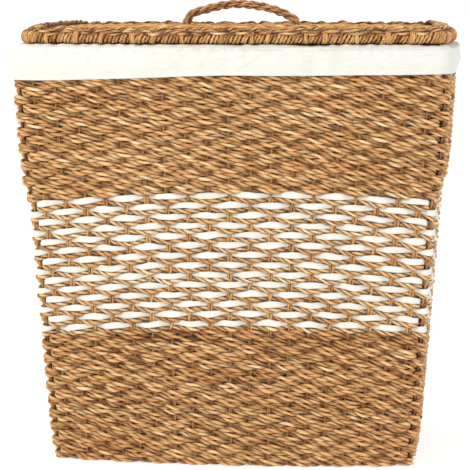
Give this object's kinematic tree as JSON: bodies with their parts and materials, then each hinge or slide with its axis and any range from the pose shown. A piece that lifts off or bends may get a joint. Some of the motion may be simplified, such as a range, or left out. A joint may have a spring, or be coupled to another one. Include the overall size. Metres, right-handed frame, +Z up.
{
  "type": "woven laundry basket",
  "caption": "Tapered rectangular laundry basket of twisted seagrass cord with a pale striped band, a cotton liner turned down over the rim, and a loose woven lid with a rope handle.",
  "frame": {"origin": "on the floor under the middle of the basket", "axes": "+Z up, -Y out of the wide front face, +X to the right of someone who looks at the front"},
  "size_m": [0.5444, 0.388, 0.5588],
  "materials": {
    "seagrass": "two-ply twisted seagrass cord, dry plant fibre with a faint satin sheen, tan with straw, olive and reddish strands",
    "seagrass_rope": "thick twisted seagrass rope, darker brown, slightly glossy where it is handled",
    "cotton_cord": "flat folded off-white cotton cord woven beside natural seagrass cord, matt",
    "liner_cotton": "plain-weave warm white cotton, matt, softly puckered",
    "frame_wire": "dark brown lacquered iron wire"
  },
  "bodies": {
    "basket": {"base_wire_ring": "frame_wire", "base_cross_wire_left": "frame_wire", "base_cross_wire_right": "frame_wire", "upright_front_right": "frame_wire", "upright_corner_front_right": "frame_wire", "upright_right": "frame_wire", "upright_corner_back_right": "frame_wire", "upright_back_right": "frame_wire", "upright_back_left": "frame_wire", "upright_corner_back_left": "frame_wire", "upright_left": "frame_wire", "upright_corner_front_left": "frame_wire", "upright_front_left": "frame_wire", "rim_wire_ring": "frame_wire", "base_weave": "seagrass", "lower_weave": "seagrass", "striped_weave": "cotton_cord", "upper_weave": "seagrass", "rim_binding": "seagrass", "liner_bag": "liner_cotton", "liner_cuff": "liner_cotton"},
    "lid": {"lid_wire_ring": "frame_wire", "lid_cross_wire_left": "frame_wire", "lid_cross_wire_middle": "frame_wire", "lid_cross_wire_right": "frame_wire", "lid_edge_wrap": "seagrass", "lid_weave": "seagrass", "lid_edge_braid": "seagrass", "handle_rope": "seagrass_rope"}
  },
  "joints": [
    {"name": "lid_lift", "type": "slide", "parent": "basket", "child": "lid", "axis": [0, 0, 1], "range_m": [0, 0.2]}
  ]
}
